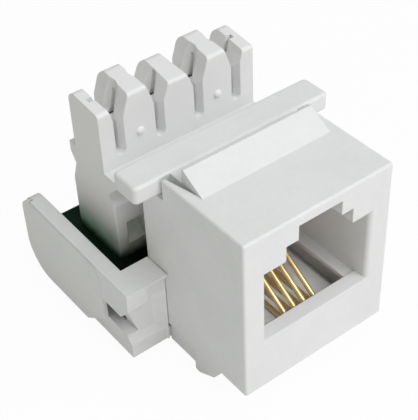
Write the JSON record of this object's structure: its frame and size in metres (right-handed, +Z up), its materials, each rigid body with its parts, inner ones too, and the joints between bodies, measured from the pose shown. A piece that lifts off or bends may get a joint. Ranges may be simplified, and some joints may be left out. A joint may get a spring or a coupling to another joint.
{
  "type": "keystone jack",
  "caption": "Snap-in keystone telephone jack with sprung gold contacts in its plug socket, a punch-down block and a rear board tray.",
  "frame": {"origin": "below the middle of the whole jack, level with the tip of the hook", "axes": "+X across the jack, to the right as seen from the front; +Y from the socket face to the back of the tray; +Z up"},
  "size_m": [0.0228, 0.026, 0.0214],
  "materials": {
    "white_moulding": "satin, lightly textured moulded surface",
    "green_board": "solder mask over glass-fibre laminate",
    "gold_wire": "gold plated, polished",
    "tinned_blade": "tin-plated phosphor bronze",
    "solder": "bright solder"
  },
  "bodies": {
    "root": {"front_housing": "white_moulding", "contact_carrier": "white_moulding", "circuit_board": "green_board", "idc_block": "white_moulding", "rear_tray": "white_moulding", "contact_wire_1": "gold_wire", "contact_wire_2": "gold_wire", "contact_wire_3": "gold_wire", "contact_wire_4": "gold_wire", "contact_solder_1": "solder", "contact_solder_2": "solder", "contact_solder_3": "solder", "contact_solder_4": "solder", "idc_blade_1": "tinned_blade", "idc_blade_2": "tinned_blade", "idc_blade_3": "tinned_blade", "idc_blade_4": "tinned_blade", "blade_solder_1": "solder", "blade_solder_2": "solder", "blade_solder_3": "solder", "blade_solder_4": "solder"}
  },
  "joints": []
}
